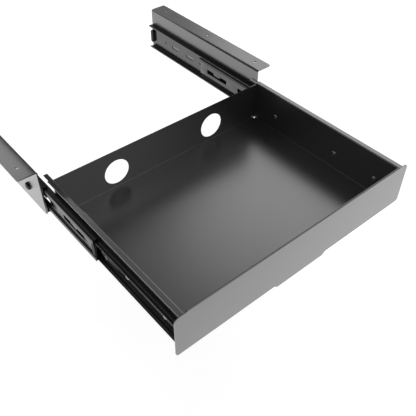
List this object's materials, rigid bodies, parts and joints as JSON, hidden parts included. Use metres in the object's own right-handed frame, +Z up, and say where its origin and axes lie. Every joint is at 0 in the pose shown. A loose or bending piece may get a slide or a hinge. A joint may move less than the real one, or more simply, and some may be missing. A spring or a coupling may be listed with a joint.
{
  "type": "under desk drawer",
  "caption": "Shallow sheet-steel drawer with rear cable holes, hung under a desk on two full-extension ball slides and side brackets.",
  "frame": {"origin": "centre of the brackets' four corner screw holes, on the plane where the brackets meet the underside of the desk", "axes": "+Z up, into the desk; the drawer opens towards -Y, to the user; +X is the user's right"},
  "size_m": [0.4674, 0.6022, 0.0836],
  "materials": {
    "black_powder_coat": "satin",
    "black_zinc_steel": "satin",
    "black_screw_steel": "satin",
    "rivet_steel": "satin",
    "cage_steel": "satin",
    "ball_steel": "polished",
    "black_plastic": "satin"
  },
  "bodies": {
    "frame": {"left_bracket": "black_powder_coat", "left_bracket_screws": "black_screw_steel", "left_outer_rail": "black_zinc_steel", "left_rail_stop": "black_plastic", "right_bracket": "black_powder_coat", "right_bracket_screws": "black_screw_steel", "right_outer_rail": "black_zinc_steel", "right_rail_stop": "black_plastic"},
    "drawer": {"tray_pan": "black_powder_coat", "front_panel": "black_powder_coat", "front_panel_nuts": "rivet_steel", "left_inner_rail": "black_zinc_steel", "left_rail_rivets": "rivet_steel", "left_lever_pin": "rivet_steel", "right_inner_rail": "black_zinc_steel", "right_rail_rivets": "rivet_steel", "right_lever_pin": "rivet_steel"},
    "left_middle": {"left_middle_rail": "black_zinc_steel", "left_middle_bumper": "black_plastic"},
    "left_outer_cage_set": {"left_outer_cage": "cage_steel", "left_outer_balls": "ball_steel"},
    "left_inner_cage_set": {"left_inner_cage": "cage_steel", "left_inner_balls": "ball_steel"},
    "left_lever": {"left_release_lever": "black_plastic"},
    "right_middle": {"right_middle_rail": "black_zinc_steel", "right_middle_bumper": "black_plastic"},
    "right_outer_cage_set": {"right_outer_cage": "cage_steel", "right_outer_balls": "ball_steel"},
    "right_inner_cage_set": {"right_inner_cage": "cage_steel", "right_inner_balls": "ball_steel"},
    "right_lever": {"right_release_lever": "black_plastic"}
  },
  "joints": [
    {"name": "drawer_slide", "type": "slide", "parent": "frame", "child": "drawer", "axis": [0, -1, 0], "range_m": [-0.3, 0]},
    {"name": "left_middle_slide", "type": "slide", "parent": "frame", "child": "left_middle", "axis": [0, -1, 0], "range_m": [-0.15, 0]},
    {"name": "left_outer_cage_slide", "type": "slide", "parent": "frame", "child": "left_outer_cage_set", "axis": [0, -1, 0], "range_m": [-0.075, 0]},
    {"name": "left_inner_cage_slide", "type": "slide", "parent": "frame", "child": "left_inner_cage_set", "axis": [0, -1, 0], "range_m": [-0.225, 0]},
    {"name": "left_lever_turn", "type": "hinge", "parent": "drawer", "child": "left_lever", "pos_m": [-0.1937, -0.295, -0.0532], "axis": [1, 0, 0], "range_deg": [0, 8], "stiffness_Nm_per_rad": 0.02},
    {"name": "right_middle_slide", "type": "slide", "parent": "frame", "child": "right_middle", "axis": [0, -1, 0], "range_m": [-0.15, 0]},
    {"name": "right_outer_cage_slide", "type": "slide", "parent": "frame", "child": "right_outer_cage_set", "axis": [0, -1, 0], "range_m": [-0.075, 0]},
    {"name": "right_inner_cage_slide", "type": "slide", "parent": "frame", "child": "right_inner_cage_set", "axis": [0, -1, 0], "range_m": [-0.225, 0]},
    {"name": "right_lever_turn", "type": "hinge", "parent": "drawer", "child": "right_lever", "pos_m": [0.1937, -0.295, -0.0532], "axis": [1, 0, 0], "range_deg": [0, 8], "stiffness_Nm_per_rad": 0.02}
  ],
  "couplings": [
    {"joint": "left_middle_slide", "follows": "drawer_slide", "ratio": 0.5},
    {"joint": "left_outer_cage_slide", "follows": "drawer_slide", "ratio": 0.25},
    {"joint": "left_inner_cage_slide", "follows": "drawer_slide", "ratio": 0.75},
    {"joint": "right_middle_slide", "follows": "drawer_slide", "ratio": 0.5},
    {"joint": "right_outer_cage_slide", "follows": "drawer_slide", "ratio": 0.25},
    {"joint": "right_inner_cage_slide", "follows": "drawer_slide", "ratio": 0.75}
  ]
}
